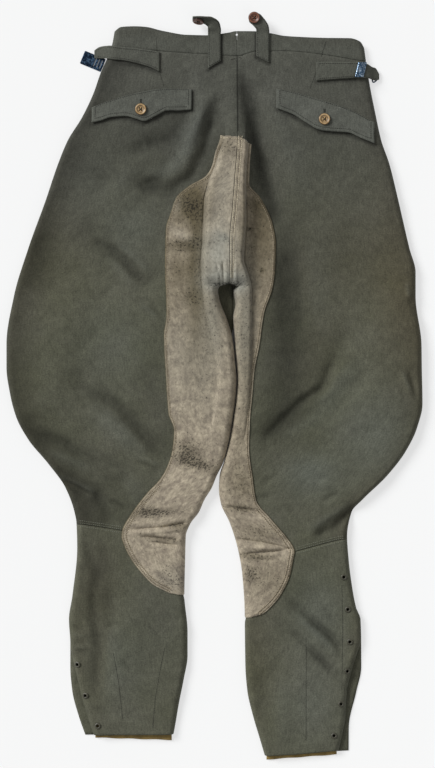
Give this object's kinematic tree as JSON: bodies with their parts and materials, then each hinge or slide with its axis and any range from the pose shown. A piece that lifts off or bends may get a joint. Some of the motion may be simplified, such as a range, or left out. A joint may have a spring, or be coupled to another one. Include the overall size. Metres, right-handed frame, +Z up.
{
  "type": "riding breeches",
  "caption": "Wool riding breeches with wide thighs, narrow laced calves and suede strapping over the seat and inside legs, laid flat with the back up.",
  "frame": {"origin": "centre of the bounding box's footprint, on the surface that the garment lies on", "axes": "+Y from the hems towards the waist, +Z up out of the back of the garment, +X to the right of someone who looks down on the back with the waist at the top"},
  "size_m": [0.6044, 1.0816, 0.0362],
  "materials": {
    "wool": "heavy grey-green wool twill, matt",
    "waistband_wool": "the same wool, topstitched",
    "suede": "worn tan suede, polished on its folds",
    "hem_tape": "tan cotton tape",
    "horn": "horn-like tan button",
    "brown_button": "red-brown button",
    "painted_eyelet": "olive-brown paint",
    "blued_steel": "dark blued steel"
  },
  "bodies": {
    "root": {"back_left": "wool", "back_right": "wool", "brace_button_left": "brown_button", "brace_button_right": "brown_button", "brace_tab_left": "waistband_wool", "brace_tab_right": "waistband_wool", "buckle_frame_right": "blued_steel", "buckle_left": "blued_steel", "buckle_right": "blued_steel", "calf_back_left": "wool", "calf_back_right": "wool", "calf_front_left": "wool", "calf_front_right": "wool", "cinch_strap_left": "waistband_wool", "cinch_strap_right": "waistband_wool", "eyelet_left_1": "painted_eyelet", "eyelet_left_2": "painted_eyelet", "eyelet_left_3": "painted_eyelet", "eyelet_right_1": "painted_eyelet", "eyelet_right_2": "painted_eyelet", "eyelet_right_3": "painted_eyelet", "eyelet_right_4": "painted_eyelet", "eyelet_right_5": "painted_eyelet", "eyelet_right_6": "painted_eyelet", "fly_lap": "wool", "front_left": "wool", "front_right": "wool", "hem_tape_left": "hem_tape", "hem_tape_right": "hem_tape", "pocket_button_left": "horn", "pocket_button_right": "horn", "pocket_flap_left": "waistband_wool", "pocket_flap_right": "waistband_wool", "strapping_back_left": "suede", "strapping_back_right": "suede", "strapping_front_left": "suede", "strapping_front_right": "suede", "waistband_back_left": "waistband_wool", "waistband_back_right": "waistband_wool", "waistband_front_left": "waistband_wool", "waistband_front_right": "waistband_wool"}
  },
  "joints": []
}
